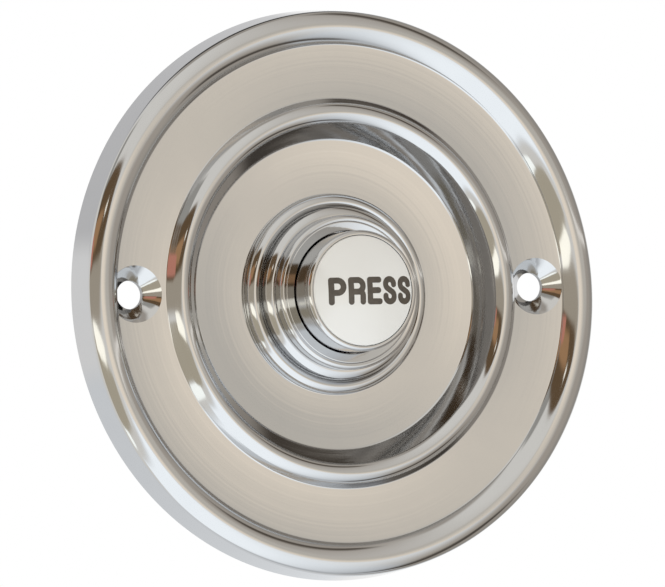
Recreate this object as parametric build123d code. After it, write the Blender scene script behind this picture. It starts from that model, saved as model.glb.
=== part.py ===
"""Round stepped bell push: a dished chrome plate, a turned bezel, a sliding button and its contacts.

Every piece is drawn face up: X to the right, Y up the door, Z out of the wall towards the visitor,
with Z = 0 on the wall. The last step turns the pieces so that +Z is up and the face looks along -Y.
"""

import os
from math import cos, radians, sin, tan

from build123d import *

# Driving dimensions in millimetres

# Front of the face plate, from the rim inwards
PLATE_RADIUS = 38.0
RIM_DRAFT = 0.45
RIM_HEIGHT = 4.4
OUTER_BEAD_OUTSIDE = 1.95
OUTER_BEAD_RISE = 0.75
OUTER_BEAD_ROUND = 2.9
RING_WIDTH = 7.2
RING_HEIGHT = 3.8
INNER_BEAD_RISE = 1.5
INNER_BEAD_ROUND = 1.68
BEAD_SLOPE = 55.0
DISH_COVE_ROUND = 0.4
DISH_HEIGHT = 1.6
BOSS_BEAD_WIDTH = 1.9
BOSS_BEAD_WALL = 0.5
BOSS_BEAD_BULGE = 0.75
SEAT_HEIGHT = 2.6

# Back of the face plate
RIM_WALL = 1.9
BEAD_WALL = 2.8
RING_WALL = 2.55
DISH_WALL = 1.4
SEAT_WALL = 1.4
CORE_SLOPE = 0.3
SCREW_BOSS_RADIUS = 2.9
SCREW_BOSS_LENGTH = 2.2

# Wall screw holes, drilled slightly to the left and high as on the real plate
HOLE_SPACING = 59.7
HOLE_SHIFT = -0.55
HOLE_LIFT = 0.45
HOLE_RADIUS = 1.9
COUNTERSINK_RADIUS = 3.78

# Button
CHINA_RADIUS = 7.4
CHINA_THICKNESS = 3.0
CHINA_CROWN = 1.1
BARREL_WALL = 0.65
BARREL_EDGE = 0.45
BARREL_STAND = 3.25
BARREL_WEB = 1.5
BARREL_SKIRT = 1.5
FLANGE_LIP = 0.65
FLANGE_THICKNESS = 1.2
STEM_RADIUS = 2.2
STEM_LENGTH = 5.7
TIP_WALL = 1.1
TIP_CAP = 2.4
TIP_GRIP = 2.6
TIP_NOSE_RADIUS = 1.4
BUTTON_TRAVEL = 1.8

# Bezel, from its seat outwards
BEZEL_LIP = 1.45
LOWER_STEP_WIDTH = 1.1
LOWER_STEP_HEIGHT = 2.15
LOWER_STEP_CROWN = 0.36
STEP_GROOVE = 0.2
UPPER_STEP_HEIGHT = 1.7
UPPER_STEP_ROUND = 0.5
BEZEL_TOP_DIP = 0.2
BORE_CHAMFER = 0.08
SHOULDER_DEPTH = 3.8
SLEEVE_WALL = 1.13
SLEEVE_END = 1.4

# Ring nut and its spring washer
NUT_WALL = 2.0
NUT_THICKNESS = 2.0
NUT_SLOT_WIDTH = 2.0
NUT_SLOT_DEPTH = 1.0
NUT_SLOTS = 4
WASHER_THICKNESS = 0.5
WASHER_SPLIT = 0.8

# Contact base
POST_RADIUS = 3.4
POST_LENGTH = 6.0
BASE_RADIUS = 17.5
BASE_THICKNESS = 4.0
BASE_EDGE = 0.5
EAR_FILLET = 2.0
TERMINAL_EDGE = 5.2
BARRIER_WIDTH = 2.0
BARRIER_HEIGHT = 2.4
BARRIER_END = 3.5
GUIDE_WIDTH = 1.0
GUIDE_HEIGHT = 1.0
GUIDE_LENGTH = 6.0

# Contact strips
STRIP_THICKNESS = 0.3
STRIP_WIDTH = 6.4
STRIP_CORNER = 1.5
STRIP_TAB = 3.6
STRIP_OVERLAP = 3.0
STRIP_RUN = 5.0
STRIP_BEND = 1.2

# Terminal screws with their washers and nuts
TERMINAL_SCREW_RADIUS = 1.5
TERMINAL_HEAD_RADIUS = 2.75
TERMINAL_HEAD_HEIGHT = 2.0
TERMINAL_SLOT = 0.8
TERMINAL_SCREW_END = 0.8
TERMINAL_WASHER_RADIUS = 3.4
TERMINAL_WASHER_THICKNESS = 0.6
TERMINAL_NUT_FLATS = 5.5
TERMINAL_NUT_HEIGHT = 2.4

# Screws that hold the contact base, with their washers
BASE_SCREW_RADIUS = 1.25
BASE_HEAD_RADIUS = 2.25
BASE_HEAD_HEIGHT = 1.6
BASE_SLOT = 0.6
BASE_SCREW_GRIP = 2.6
BASE_HOLE_SPARE = 0.3
BASE_WASHER_RADIUS = 2.9
BASE_WASHER_THICKNESS = 0.5

# Clearances
SLIDE_CLEARANCE = 0.12
SEATED_CLEARANCE = 0.05
THREAD_CLEARANCE = 0.04
SCREW_CLEARANCE = 0.15
POCKET_CLEARANCE = 0.3
STRIP_CLEARANCE = 0.2
BUTTON_PLAY = 0.05
CONTACT_GAP = 0.1

# Places worked out from the driving dimensions

# Radii from the button outwards
barrel_radius = CHINA_RADIUS + BARREL_WALL
guide_radius = barrel_radius + SLIDE_CLEARANCE
flange_radius = barrel_radius + FLANGE_LIP
counterbore_radius = flange_radius + SLIDE_CLEARANCE
sleeve_radius = counterbore_radius + SLEEVE_WALL
plate_bore_radius = sleeve_radius + SEATED_CLEARANCE
bezel_radius = sleeve_radius + BEZEL_LIP
upper_step_radius = bezel_radius - LOWER_STEP_WIDTH
nut_bore_radius = sleeve_radius + THREAD_CLEARANCE
nut_radius = nut_bore_radius + NUT_WALL
pocket_radius = nut_radius + POCKET_CLEARANCE
boss_seat_radius = bezel_radius + SEATED_CLEARANCE
boss_radius = boss_seat_radius + BOSS_BEAD_WIDTH

# Radii from the rim inwards
rim_edge_radius = PLATE_RADIUS - RIM_DRAFT
crest_radius = rim_edge_radius - OUTER_BEAD_OUTSIDE
outer_core_radius = crest_radius - OUTER_BEAD_OUTSIDE

# The outer bead is rounded over its crest and runs down to the flat ring in a straight flank
bead_slope = radians(BEAD_SLOPE)
crest_height = RIM_HEIGHT + OUTER_BEAD_RISE
flank_radius = crest_radius - OUTER_BEAD_ROUND * sin(bead_slope)
flank_height = crest_height - OUTER_BEAD_ROUND * (1 - cos(bead_slope))
ring_outer_radius = flank_radius - (flank_height - RING_HEIGHT) / tan(bead_slope)
ring_inner_radius = ring_outer_radius - RING_WIDTH

# The inner bead is a round between two straight flanks, which would meet in a peak above it
peak_rise = INNER_BEAD_RISE + INNER_BEAD_ROUND * (1 / cos(bead_slope) - 1)
peak_height = RING_HEIGHT + peak_rise
peak_radius = ring_inner_radius - peak_rise / tan(bead_slope)
dish_corner_radius = peak_radius - (peak_height - DISH_HEIGHT) / tan(bead_slope)
dish_radius = dish_corner_radius - DISH_COVE_ROUND * tan(bead_slope / 2)
core_radius = peak_radius - INNER_BEAD_ROUND

# Heights on the plate and the bezel
bead_back = crest_height - BEAD_WALL
ring_back = RING_HEIGHT - RING_WALL
dish_back = DISH_HEIGHT - DISH_WALL
seat_back = SEAT_HEIGHT - SEAT_WALL
bezel_groove = SEAT_HEIGHT + LOWER_STEP_HEIGHT
bezel_top = bezel_groove + UPPER_STEP_HEIGHT
bore_mouth = bezel_top - BEZEL_TOP_DIP
shoulder = bezel_top - SHOULDER_DEPTH

# Heights on the button at rest
barrel_top = bezel_top + BARREL_STAND
china_seam = barrel_top + BARREL_EDGE
china_bed = china_seam - CHINA_THICKNESS
web_back = china_bed - BARREL_WEB
flange_front = shoulder - BUTTON_PLAY
flange_back = flange_front - FLANGE_THICKNESS
stem_end = web_back - STEM_LENGTH
tip_end = stem_end - TIP_CAP

# Heights behind the plate
washer_back = seat_back - WASHER_THICKNESS
nut_back = washer_back - NUT_THICKNESS
sleeve_end = nut_back - SLEEVE_END
post_seat = dish_back - SCREW_BOSS_LENGTH
base_front = post_seat - POST_LENGTH
base_back = base_front - BASE_THICKNESS
base_screw_tip = post_seat + BASE_SCREW_GRIP

# The leaf lies just under the tip, and the fixed strip waits below the button's travel
leaf_top = tip_end - CONTACT_GAP / 2
fixed_top = leaf_top - STRIP_THICKNESS - BUTTON_TRAVEL - CONTACT_GAP

# The posts stand in the middle of the dish floor, and the terminals in from the edge of the base
post_offset = (dish_radius + boss_radius) / 2
terminal_offset = BASE_RADIUS - TERMINAL_EDGE

# The sides that the paired pieces lie on
SIDES = {"left": -1, "right": 1}
ENDS = {"upper": 1, "lower": -1}


def revolved(*outline):
    """Solid turned about Z from a closed outline drawn as radius and height."""
    section = make_face(Plane.XZ * (Curve() + outline))
    return revolve(section, Axis.Z)


def disc(radius, low, high):
    """Plain cylinder about Z between two heights."""
    return Pos(0, 0, low) * Cylinder(radius, high - low, align=(Align.CENTER, Align.CENTER, Align.MIN))


def ring(outer, inner, low, high):
    """Plain cylinder with a bore right through."""
    return disc(outer, low, high) - disc(inner, low, high)


def bulged(start, end, bulge):
    """Arc that leaves its chord by bulge, to the left of the way from start to end."""
    chord = Vector(*end) - Vector(*start)
    left = Vector(-chord.Y, chord.X).normalized()
    return ThreePointArc(start, (Vector(*start) + Vector(*end)) / 2 + left * bulge, end)


def face_plate():
    """Cast plate: rim, beads, flat ring, dish and boss, cored at the back and drilled for its screws.

    The countersinks stay within the flat ring: the beads run on past them."""
    rim_edge = (rim_edge_radius, RIM_HEIGHT)
    outer_crest = (crest_radius, crest_height)
    outer_flank = (flank_radius, flank_height)
    ring_outer = (ring_outer_radius, RING_HEIGHT)
    ring_inner = (ring_inner_radius, RING_HEIGHT)
    inner_peak = (peak_radius, peak_height)
    dish_corner = (dish_corner_radius, DISH_HEIGHT)
    boss_foot = (boss_radius, DISH_HEIGHT)
    boss_wall = (boss_radius, DISH_HEIGHT + BOSS_BEAD_WALL)
    boss_seat = (boss_seat_radius, SEAT_HEIGHT)
    plate = revolved(
        Line((PLATE_RADIUS, 0), rim_edge),
        TangentArc(outer_crest, rim_edge, tangent=(1, 0)),
        TangentArc(outer_crest, outer_flank, tangent=(-1, 0)),
        Polyline(outer_flank, ring_outer, ring_inner),
        FilletPolyline(
            ring_inner, inner_peak, dish_corner, boss_foot, radius=[INNER_BEAD_ROUND, DISH_COVE_ROUND]
        ),
        Line(boss_foot, boss_wall),
        bulged(boss_seat, boss_wall, BOSS_BEAD_BULGE),
        Polyline(
            boss_seat,
            (plate_bore_radius, SEAT_HEIGHT),
            (plate_bore_radius, seat_back),
            (pocket_radius, seat_back),
            (pocket_radius, dish_back),
            (core_radius, dish_back),
            (core_radius + CORE_SLOPE, ring_back),
            (outer_core_radius - CORE_SLOPE, ring_back),
            (outer_core_radius, bead_back),
            (PLATE_RADIUS - RIM_WALL - CORE_SLOPE, bead_back),
            (PLATE_RADIUS - RIM_WALL, 0),
            (PLATE_RADIUS, 0),
        ),
    )
    tapped_radius = BASE_SCREW_RADIUS + THREAD_CLEARANCE
    for end in ENDS.values():
        place = Pos(0, end * post_offset, 0)
        plate += place * disc(SCREW_BOSS_RADIUS, post_seat, dish_back + DISH_WALL / 2)
        plate -= place * disc(tapped_radius, post_seat, base_screw_tip + BASE_HOLE_SPARE)
    sink_depth = COUNTERSINK_RADIUS - HOLE_RADIUS
    sink_bottom = RING_HEIGHT - sink_depth
    sink = Cone(
        HOLE_RADIUS,
        HOLE_RADIUS + crest_height - sink_bottom,
        crest_height - sink_bottom,
        align=(Align.CENTER, Align.CENTER, Align.MIN),
    )
    flat_ring = ring(ring_outer_radius, ring_inner_radius, 0, crest_height)
    for side in SIDES.values():
        place = Pos(HOLE_SHIFT + side * HOLE_SPACING / 2, HOLE_LIFT, 0)
        plate -= place * disc(HOLE_RADIUS, 0, crest_height)
        plate -= (place * Pos(0, 0, sink_bottom) * sink) & flat_ring
    return plate


def push_bezel():
    """Turned ring of two steps on a sleeve, bored to guide the button and relieved for its flange."""
    step_edge = (bezel_radius, bezel_groove - LOWER_STEP_CROWN)
    step_end = (upper_step_radius + STEP_GROOVE / 2, bezel_groove)
    round_start = (upper_step_radius, bezel_top - UPPER_STEP_ROUND)
    round_end = (upper_step_radius - UPPER_STEP_ROUND, bezel_top)
    return revolved(
        TangentArc(step_end, step_edge, tangent=(1, 0)),
        Polyline(
            step_end,
            (upper_step_radius - STEP_GROOVE, bezel_groove),
            (upper_step_radius, bezel_groove + STEP_GROOVE),
            round_start,
        ),
        TangentArc(round_start, round_end, tangent=(0, 1)),
        Polyline(
            round_end,
            (guide_radius + BORE_CHAMFER, bore_mouth),
            (guide_radius, bore_mouth - BORE_CHAMFER),
            (guide_radius, shoulder),
            (counterbore_radius, shoulder),
            (counterbore_radius, sleeve_end),
            (sleeve_radius, sleeve_end),
            (sleeve_radius, SEAT_HEIGHT),
            (bezel_radius, SEAT_HEIGHT),
            step_edge,
        ),
    )


def bezel_washer():
    """Flat spring washer, split on one side."""
    washer = ring(nut_radius, nut_bore_radius, washer_back, seat_back)
    split = Pos((nut_radius + nut_bore_radius) / 2, 0, (washer_back + seat_back) / 2)
    return washer - split * Box(2 * NUT_WALL, WASHER_SPLIT, 2 * WASHER_THICKNESS)


def bezel_nut():
    """Ring nut with slots for a pin spanner in its back face."""
    nut = ring(nut_radius, nut_bore_radius, nut_back, washer_back)
    slot = Pos(nut_radius, 0, nut_back) * Box(4 * NUT_WALL, NUT_SLOT_WIDTH, 2 * NUT_SLOT_DEPTH)
    return nut - PolarLocations(0, NUT_SLOTS) * slot


def button_barrel():
    """Turned cup for the china, with a flange that keeps it in the bezel and a stem for the tip."""
    edge_start = (barrel_radius, barrel_top)
    edge_end = (barrel_radius - BARREL_EDGE, china_seam)
    skirt_radius = barrel_radius - BARREL_SKIRT
    return revolved(
        TangentArc(edge_start, edge_end, tangent=(0, 1)),
        Polyline(
            edge_end,
            (CHINA_RADIUS, china_seam),
            (CHINA_RADIUS, china_bed),
            (0, china_bed),
            (0, stem_end),
            (STEM_RADIUS, stem_end),
            (STEM_RADIUS, web_back),
            (skirt_radius, web_back),
            (skirt_radius, flange_back),
            (flange_radius, flange_back),
            (flange_radius, flange_front),
            (barrel_radius, flange_front),
            edge_start,
        ),
    )


def china_insert():
    """Domed disc bedded in the barrel."""
    insert_radius = CHINA_RADIUS - SEATED_CLEARANCE
    crown = (0, china_seam + CHINA_CROWN)
    rim = (insert_radius, china_seam)
    return revolved(
        TangentArc(crown, rim, tangent=(1, 0)),
        Polyline(rim, (insert_radius, china_bed), (0, china_bed), crown),
    )


def plunger_tip():
    """Insulating cap pushed on the stem, with a flat nose."""
    bore_radius = STEM_RADIUS + SEATED_CLEARANCE
    tip_radius = bore_radius + TIP_WALL
    nose = (TIP_NOSE_RADIUS, tip_end)
    cheek = (tip_radius, tip_end + tip_radius - TIP_NOSE_RADIUS)
    return revolved(
        TangentArc(nose, cheek, tangent=(1, 0)),
        Polyline(
            cheek,
            (tip_radius, stem_end + TIP_GRIP),
            (bore_radius, stem_end + TIP_GRIP),
            (bore_radius, stem_end),
            (0, stem_end),
            (0, tip_end),
            nose,
        ),
    )


def contact_base():
    """Moulded disc on two posts, with guides for the strips and a barrier between the terminals."""
    outline = Circle(BASE_RADIUS)
    for end in ENDS.values():
        outline += Pos(0, end * post_offset) * Circle(POST_RADIUS)
    outline = fillet(outline.vertices(), EAR_FILLET)
    base = extrude(Pos(0, 0, base_back) * outline, BASE_THICKNESS)
    levels = base.edges().group_by(Axis.Z)
    base = chamfer(levels[0] + levels[-1], BASE_EDGE)
    guide_offset = (STRIP_WIDTH + GUIDE_WIDTH) / 2 + STRIP_CLEARANCE
    guide = Box(GUIDE_LENGTH, GUIDE_WIDTH, GUIDE_HEIGHT, align=(Align.CENTER, Align.CENTER, Align.MIN))
    for side in SIDES.values():
        for end in ENDS.values():
            base += Pos(side * terminal_offset, end * guide_offset, base_front) * guide
        base -= Pos(side * terminal_offset, 0, 0) * disc(
            TERMINAL_SCREW_RADIUS + SCREW_CLEARANCE, base_back, base_front
        )
    barrier_length = 2 * (post_offset - POST_RADIUS - BARRIER_END)
    barrier = Box(
        BARRIER_WIDTH, barrier_length, BARRIER_HEIGHT, align=(Align.CENTER, Align.CENTER, Align.MAX)
    )
    base += Pos(0, 0, base_back) * barrier
    for end in ENDS.values():
        place = Pos(0, end * post_offset, 0)
        base += place * disc(POST_RADIUS, base_front, post_seat)
        base -= place * disc(BASE_SCREW_RADIUS + SCREW_CLEARANCE, base_back, post_seat)
    return base


def contact_strip(side, top):
    """Strip bent up from its terminal on one side to a flat stretch under the tip, at height top."""
    tab_end = -terminal_offset - STRIP_TAB
    bend = -terminal_offset + STRIP_TAB
    underside = top - STRIP_THICKNESS
    path = FilletPolyline(
        (tab_end, base_front),
        (bend, base_front),
        (bend + STRIP_RUN, underside),
        (STRIP_OVERLAP, underside),
        radius=STRIP_BEND,
    )
    section = make_face(Plane.XZ * offset(path, STRIP_THICKNESS, side=Side.LEFT))
    strip = extrude(section, STRIP_WIDTH / 2, both=True)
    outline = Pos((tab_end + STRIP_OVERLAP) / 2, 0, base_front) * RectangleRounded(
        STRIP_OVERLAP - tab_end, STRIP_WIDTH, STRIP_CORNER
    )
    strip = strip & extrude(outline, top - base_front)
    strip -= Pos(-terminal_offset, 0, 0) * disc(
        TERMINAL_SCREW_RADIUS + SCREW_CLEARANCE, base_front, base_front + STRIP_THICKNESS
    )
    if side == SIDES["right"]:
        strip = mirror(strip, about=Plane.YZ)
    return strip


def slotted_screw(radius, head_radius, head_height, slot, seat, tip):
    """Cheese-head screw whose head lies behind its seat and whose shank points to the front."""
    screw = disc(head_radius, seat - head_height, seat) + disc(radius, seat, tip)
    return screw - Pos(0, 0, seat - head_height) * Box(3 * head_radius, slot, head_height)


def terminal_screw(side):
    """Screw that clamps a bell wire behind the base."""
    seat = base_back - TERMINAL_WASHER_THICKNESS
    tip = base_front + STRIP_THICKNESS + TERMINAL_NUT_HEIGHT + TERMINAL_SCREW_END
    screw = slotted_screw(
        TERMINAL_SCREW_RADIUS, TERMINAL_HEAD_RADIUS, TERMINAL_HEAD_HEIGHT, TERMINAL_SLOT, seat, tip
    )
    return Pos(side * terminal_offset, 0, 0) * screw


def terminal_washer(side):
    """Plain washer under a terminal screw's head."""
    bore = TERMINAL_SCREW_RADIUS + SCREW_CLEARANCE
    washer = ring(TERMINAL_WASHER_RADIUS, bore, base_back - TERMINAL_WASHER_THICKNESS, base_back)
    return Pos(side * terminal_offset, 0, 0) * washer


def terminal_nut(side):
    """Hexagon nut that holds a strip down on the front of the base."""
    seat = base_front + STRIP_THICKNESS
    hexagon = RegularPolygon(TERMINAL_NUT_FLATS / 2, 6, major_radius=False)
    nut = Pos(0, 0, seat) * extrude(hexagon, TERMINAL_NUT_HEIGHT)
    nut -= disc(TERMINAL_SCREW_RADIUS + THREAD_CLEARANCE, seat, seat + TERMINAL_NUT_HEIGHT)
    return Pos(side * terminal_offset, 0, 0) * nut


def base_screw(end):
    """Screw through a post of the base into the plate's boss."""
    seat = base_back - BASE_WASHER_THICKNESS
    screw = slotted_screw(
        BASE_SCREW_RADIUS, BASE_HEAD_RADIUS, BASE_HEAD_HEIGHT, BASE_SLOT, seat, base_screw_tip
    )
    return Pos(0, end * post_offset, 0) * screw


def base_washer(end):
    """Plain washer under a base screw's head."""
    bore = BASE_SCREW_RADIUS + SCREW_CLEARANCE
    washer = ring(BASE_WASHER_RADIUS, bore, base_back - BASE_WASHER_THICKNESS, base_back)
    return Pos(0, end * post_offset, 0) * washer


def bell_push():
    """All the pieces by name, face up."""
    pieces = {
        "face_plate": face_plate(),
        "push_bezel": push_bezel(),
        "bezel_washer": bezel_washer(),
        "bezel_nut": bezel_nut(),
        "button_barrel": button_barrel(),
        "china_insert": china_insert(),
        "plunger_tip": plunger_tip(),
        "contact_base": contact_base(),
        "contact_leaf": contact_strip(SIDES["left"], leaf_top),
        "fixed_contact": contact_strip(SIDES["right"], fixed_top),
    }
    for name, side in SIDES.items():
        pieces[f"terminal_screw_{name}"] = terminal_screw(side)
        pieces[f"terminal_washer_{name}"] = terminal_washer(side)
        pieces[f"terminal_nut_{name}"] = terminal_nut(side)
    for name, end in ENDS.items():
        pieces[f"base_screw_{name}"] = base_screw(end)
        pieces[f"base_washer_{name}"] = base_washer(end)
    return pieces


os.makedirs("parts", exist_ok=True)
for node, piece in bell_push().items():
    export_step(Rot(X=90) * piece, f"parts/{node}.step")
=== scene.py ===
"""Looks of the round bell push: the polished plate, bezel and button, and the contact unit behind them."""

import math

import bmesh
import bpy
from mathutils import Matrix, Vector


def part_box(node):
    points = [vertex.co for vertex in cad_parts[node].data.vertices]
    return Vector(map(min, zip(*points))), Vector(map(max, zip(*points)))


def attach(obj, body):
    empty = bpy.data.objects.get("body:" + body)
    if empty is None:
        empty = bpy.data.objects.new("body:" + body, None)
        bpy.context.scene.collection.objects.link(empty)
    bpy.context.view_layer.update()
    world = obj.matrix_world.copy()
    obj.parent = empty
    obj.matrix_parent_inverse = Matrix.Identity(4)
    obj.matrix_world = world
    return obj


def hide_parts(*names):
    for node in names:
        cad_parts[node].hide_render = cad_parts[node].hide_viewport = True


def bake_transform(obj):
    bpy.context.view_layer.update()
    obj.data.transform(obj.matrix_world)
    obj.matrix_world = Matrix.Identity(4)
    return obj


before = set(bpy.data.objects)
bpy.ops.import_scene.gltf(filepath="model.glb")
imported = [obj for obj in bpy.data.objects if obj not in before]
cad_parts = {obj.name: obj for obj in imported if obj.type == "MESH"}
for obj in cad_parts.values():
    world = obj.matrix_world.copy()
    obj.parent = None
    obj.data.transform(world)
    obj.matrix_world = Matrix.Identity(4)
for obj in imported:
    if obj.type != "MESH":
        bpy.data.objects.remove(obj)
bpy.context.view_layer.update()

# Sizes are in millimetres, as radius from the button's axis and height above the wall
MM = 0.001

# Face plate, from the rim inwards
PLATE_RADIUS = 38.0
RIM_DRAFT = 0.45
RIM_HEIGHT = 4.4
RIM_ROUND = 0.4
OUTER_BEAD_OUTSIDE = 1.95
OUTER_BEAD_RISE = 0.75
OUTER_BEAD_ROUND = 2.9
RING_WIDTH = 7.2
RING_HEIGHT = 3.8
RING_ROLL = (3.2, 0.05)
INNER_BEAD_RISE = 1.5
INNER_BEAD_ROUND = 1.68
BEAD_SLOPE = math.radians(55)
DISH_COVE_ROUND = 0.4
DISH_HEIGHT = 1.6
DISH_ROLL = (6.0, 0.2)
BOSS_BEAD_WIDTH = 1.9
BOSS_BEAD_WALL = 0.5
BOSS_BEAD_BULGE = 0.75
BOSS_SEAT_RADIUS = 11.45
SEAT_HEIGHT = 2.6

# Back of the face plate
PLATE_BORE_RADIUS = 10.0
POCKET_RADIUS = 12.29
SEAT_BACK = 1.2
DISH_BACK = 0.2
RING_BACK = 1.25
BEAD_BACK = 2.35
RIM_WALL = 1.9
CORE_SLOPE = 0.3
BACK_LEAN = 0.05
SCREW_BOSS_RADIUS = 2.9
SCREW_BOSS_ROOT = 0.9
TAPPED_RADIUS = 1.29
TAPPED_END = 0.9

# Wall screw holes
HOLE_PLACES = ((-30.4, 0.45), (29.3, 0.45))
HOLE_RADIUS = 1.9
COUNTERSINK_RADIUS = 3.78
COUNTERSINK_BULGE = 0.02

# Bezel
BEZEL_RADIUS = 11.4
LOWER_STEP_CROWN = 0.36
UPPER_STEP_RADIUS = 10.3
BEZEL_GROOVE = 4.75
STEP_GROOVE = 0.2
BEZEL_TOP = 6.45
UPPER_STEP_ROUND = 0.5
BEZEL_TOP_DIP = 0.2
TOP_LINE_RADIUS = 9.4
TOP_LINE_WIDTH = 0.14
TOP_LINE_DEPTH = 0.07
GUIDE_RADIUS = 8.17
BORE_CHAMFER = 0.08
SHOULDER = 2.65
COUNTERBORE_RADIUS = 8.82
SLEEVE_RADIUS = 9.95
SLEEVE_END = -2.7
SLEEVE_PITCH = 0.75
SLEEVE_THREAD_DEPTH = 0.35

# Ring nut
NUT_BORE_RADIUS = 9.99
NUT_SLOT_WIDTH = 2.0
NUT_SLOT_DEPTH = 1.0
NUT_SLOTS = 4
WASHER_SPLIT = 0.8

# Button
BARREL_RADIUS = 8.05
BARREL_EDGE = 0.45
BARREL_TOP = 9.7
SKIRT_RADIUS = 6.55
FLANGE_RADIUS = 8.7
FLANGE_FRONT = 2.6
FLANGE_BACK = 1.4
STEM_RADIUS = 2.2
STEM_END = -0.05
WEB_BACK = 5.65
CHINA_RADIUS = 7.4
CHINA_PLAY = 0.05
CHINA_BED = 7.15
CHINA_SEAM = 10.15
CHINA_CROWN = 1.1
TIP_BORE_RADIUS = 2.25
TIP_RADIUS = 3.35
TIP_NOSE_RADIUS = 1.4
TIP_FRONT = 2.55
TIP_END = -2.45

# Word on the china, as on a switch
LEGEND = (("P", 0.0), ("R", 2.75), ("E", 5.5), ("S", 7.92), ("S", 10.28))
LEGEND_START = (-5.37, -1.93)
LEGEND_PEN = 0.8
LEGEND_PROUD = 0.02
LEGEND_GRID = 0.3
LEGEND_FACING = -0.5
STEM = (((0.4, 0.4), (0.4, 3.27)), ())
LETTERS = {
    "P": (STEM, (((0.4, 3.27), (2.07, 3.27), (2.07, 1.63), (0.4, 1.63)), (0.82, 0.82))),
    "R": (
        STEM,
        (((0.4, 3.27), (2.1, 3.27), (2.1, 1.73), (0.4, 1.73)), (0.77, 0.77)),
        (((1.3, 1.73), (2.08, 1.73), (2.08, 0.4)), (0.5,)),
    ),
    "E": (
        STEM,
        (((0.4, 3.27), (1.78, 3.27)), ()),
        (((0.4, 1.87), (1.68, 1.87)), ()),
        (((0.4, 0.4), (1.86, 0.4)), ()),
    ),
    "S": ((
        (
            (1.68, 2.62), (1.68, 3.32), (0.4, 3.32), (0.4, 2.3),
            (1.7, 1.45), (1.7, 0.37), (0.38, 0.37), (0.38, 1.12),
        ),
        (0.62, 0.62, 0.65, 0.65, 0.64, 0.64),
    ),),
}

# Contact base
BASE_FRONT = -8.0
BASE_BACK = -12.0
BASE_RADIUS = 17.5
BASE_EDGE = 0.5
POST_RADIUS = 3.4
POST_SEAT = -2.0
EAR_FILLET = 2.0
TERMINAL_OFFSET = 12.3
BARRIER_WIDTH = 2.0
BARRIER_HEIGHT = 2.4
BARRIER_END = 3.5
GUIDE_WIDTH = 1.0
GUIDE_HEIGHT = 1.0
GUIDE_LENGTH = 6.0
GUIDE_OFFSET = 3.9

# Contact strips
STRIP_THICKNESS = 0.3
STRIP_WIDTH = 6.4
STRIP_CORNER = 1.5
STRIP_TAB = 3.6
STRIP_OVERLAP = 3.0
STRIP_RUN = 5.0
STRIP_BEND = 1.2
STRIP_EDGE = 0.05
LEAF_TOP = -2.5
FIXED_TOP = -4.7

# Screws: radius of the shank, width of the slot and pitch of the thread
SCREW_SIZES = {"terminal": (1.5, 0.8, 0.5), "base": (1.25, 0.6, 0.45)}
SCREW_CLEARANCE = 0.15
THREAD_CLEARANCE = 0.04
THREAD_SHARE = 0.5
HEAD_ROUND = 0.3
WASHER_ROUND = 0.12
NUT_CHAMFER = math.radians(30)
NUT_FACE_SHARE = 0.96
NUT_BORE_CHAMFER = 0.25
SHANK_TAPER = 0.25

# Sides that the paired pieces lie on
SIDES = {"left": -1, "right": 1}
ENDS = {"upper": 1, "lower": -1}

# How finely the turned pieces are drawn
TURN_STEPS = 288
SMALL_STEPS = 96
ARC_STEP = math.radians(3)
CORNER_TURN = math.radians(14)
THREAD_STEPS = 8
CORNER_STEPS = 5
SWEEP_STEPS = 6
CAP_STRIDE = 6
STATION_STEP = 0.15
EASE_SHARE = 0.45
EASE_SPARE = 0.2
SAME_PLACE = 1e-5
TINY = 1e-6

# Rounds on edges, and how close to an edge a support line lies
PLATE_EDGE = 0.08
BOSS_EDGE = 0.15
BEZEL_EDGE = 0.06
BUTTON_EDGE = 0.05
BUTTON_SUPPORT = 0.06
CHINA_EDGE = 0.2
TIP_EDGE = 0.2
TIP_SUPPORT = 0.1
NUT_EDGE = 0.2
SLOT_EDGE = 0.06
SCREW_EDGE = 0.05
MOULDED_EDGE = 0.12

# Angles, in degrees, beyond which an edge is drawn sharp or softened
SHARP_ANGLE = 30
PLATE_SHARP_ANGLE = 28
CHINA_SHARP_ANGLE = 50
SOFT_ANGLE = 40
HEXAGON_SOFT_ANGLE = 25

# How far tools run past the piece that they cut
OVERSHOOT = 1.0
SINK_OVERSHOOT = 0.6
SPLIT_REACH = 4.0
SPLIT_TOP = 3.0

# The photograph's view, with the distance in metres
IMAGE_WIDTH = 665
IMAGE_HEIGHT = 587
PIXELS_PER_MM = 7.52
AXIS_PIXEL = (327.6, 294.6)
VIEW_AZIMUTH = -27.13
VIEW_ELEVATION = -2.65
VIEW_ROLL = 2.5
VIEW_DISTANCE = 2.0
SENSOR_WIDTH = 36.0

# Places worked out from the sizes
rim_edge_radius = PLATE_RADIUS - RIM_DRAFT
crest_radius = rim_edge_radius - OUTER_BEAD_OUTSIDE
crest_height = RIM_HEIGHT + OUTER_BEAD_RISE
outer_core_radius = crest_radius - OUTER_BEAD_OUTSIDE
flank_radius = crest_radius - OUTER_BEAD_ROUND * math.sin(BEAD_SLOPE)
flank_height = crest_height - OUTER_BEAD_ROUND * (1 - math.cos(BEAD_SLOPE))
ring_outer_radius = flank_radius - (flank_height - RING_HEIGHT) / math.tan(BEAD_SLOPE)
ring_inner_radius = ring_outer_radius - RING_WIDTH
peak_rise = INNER_BEAD_RISE + INNER_BEAD_ROUND * (1 / math.cos(BEAD_SLOPE) - 1)
peak_height = RING_HEIGHT + peak_rise
peak_radius = ring_inner_radius - peak_rise / math.tan(BEAD_SLOPE)
dish_corner_radius = peak_radius - (peak_height - DISH_HEIGHT) / math.tan(BEAD_SLOPE)
dish_radius = dish_corner_radius - DISH_COVE_ROUND * math.tan(BEAD_SLOPE / 2)
core_radius = peak_radius - INNER_BEAD_ROUND
boss_radius = BOSS_SEAT_RADIUS + BOSS_BEAD_WIDTH
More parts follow.
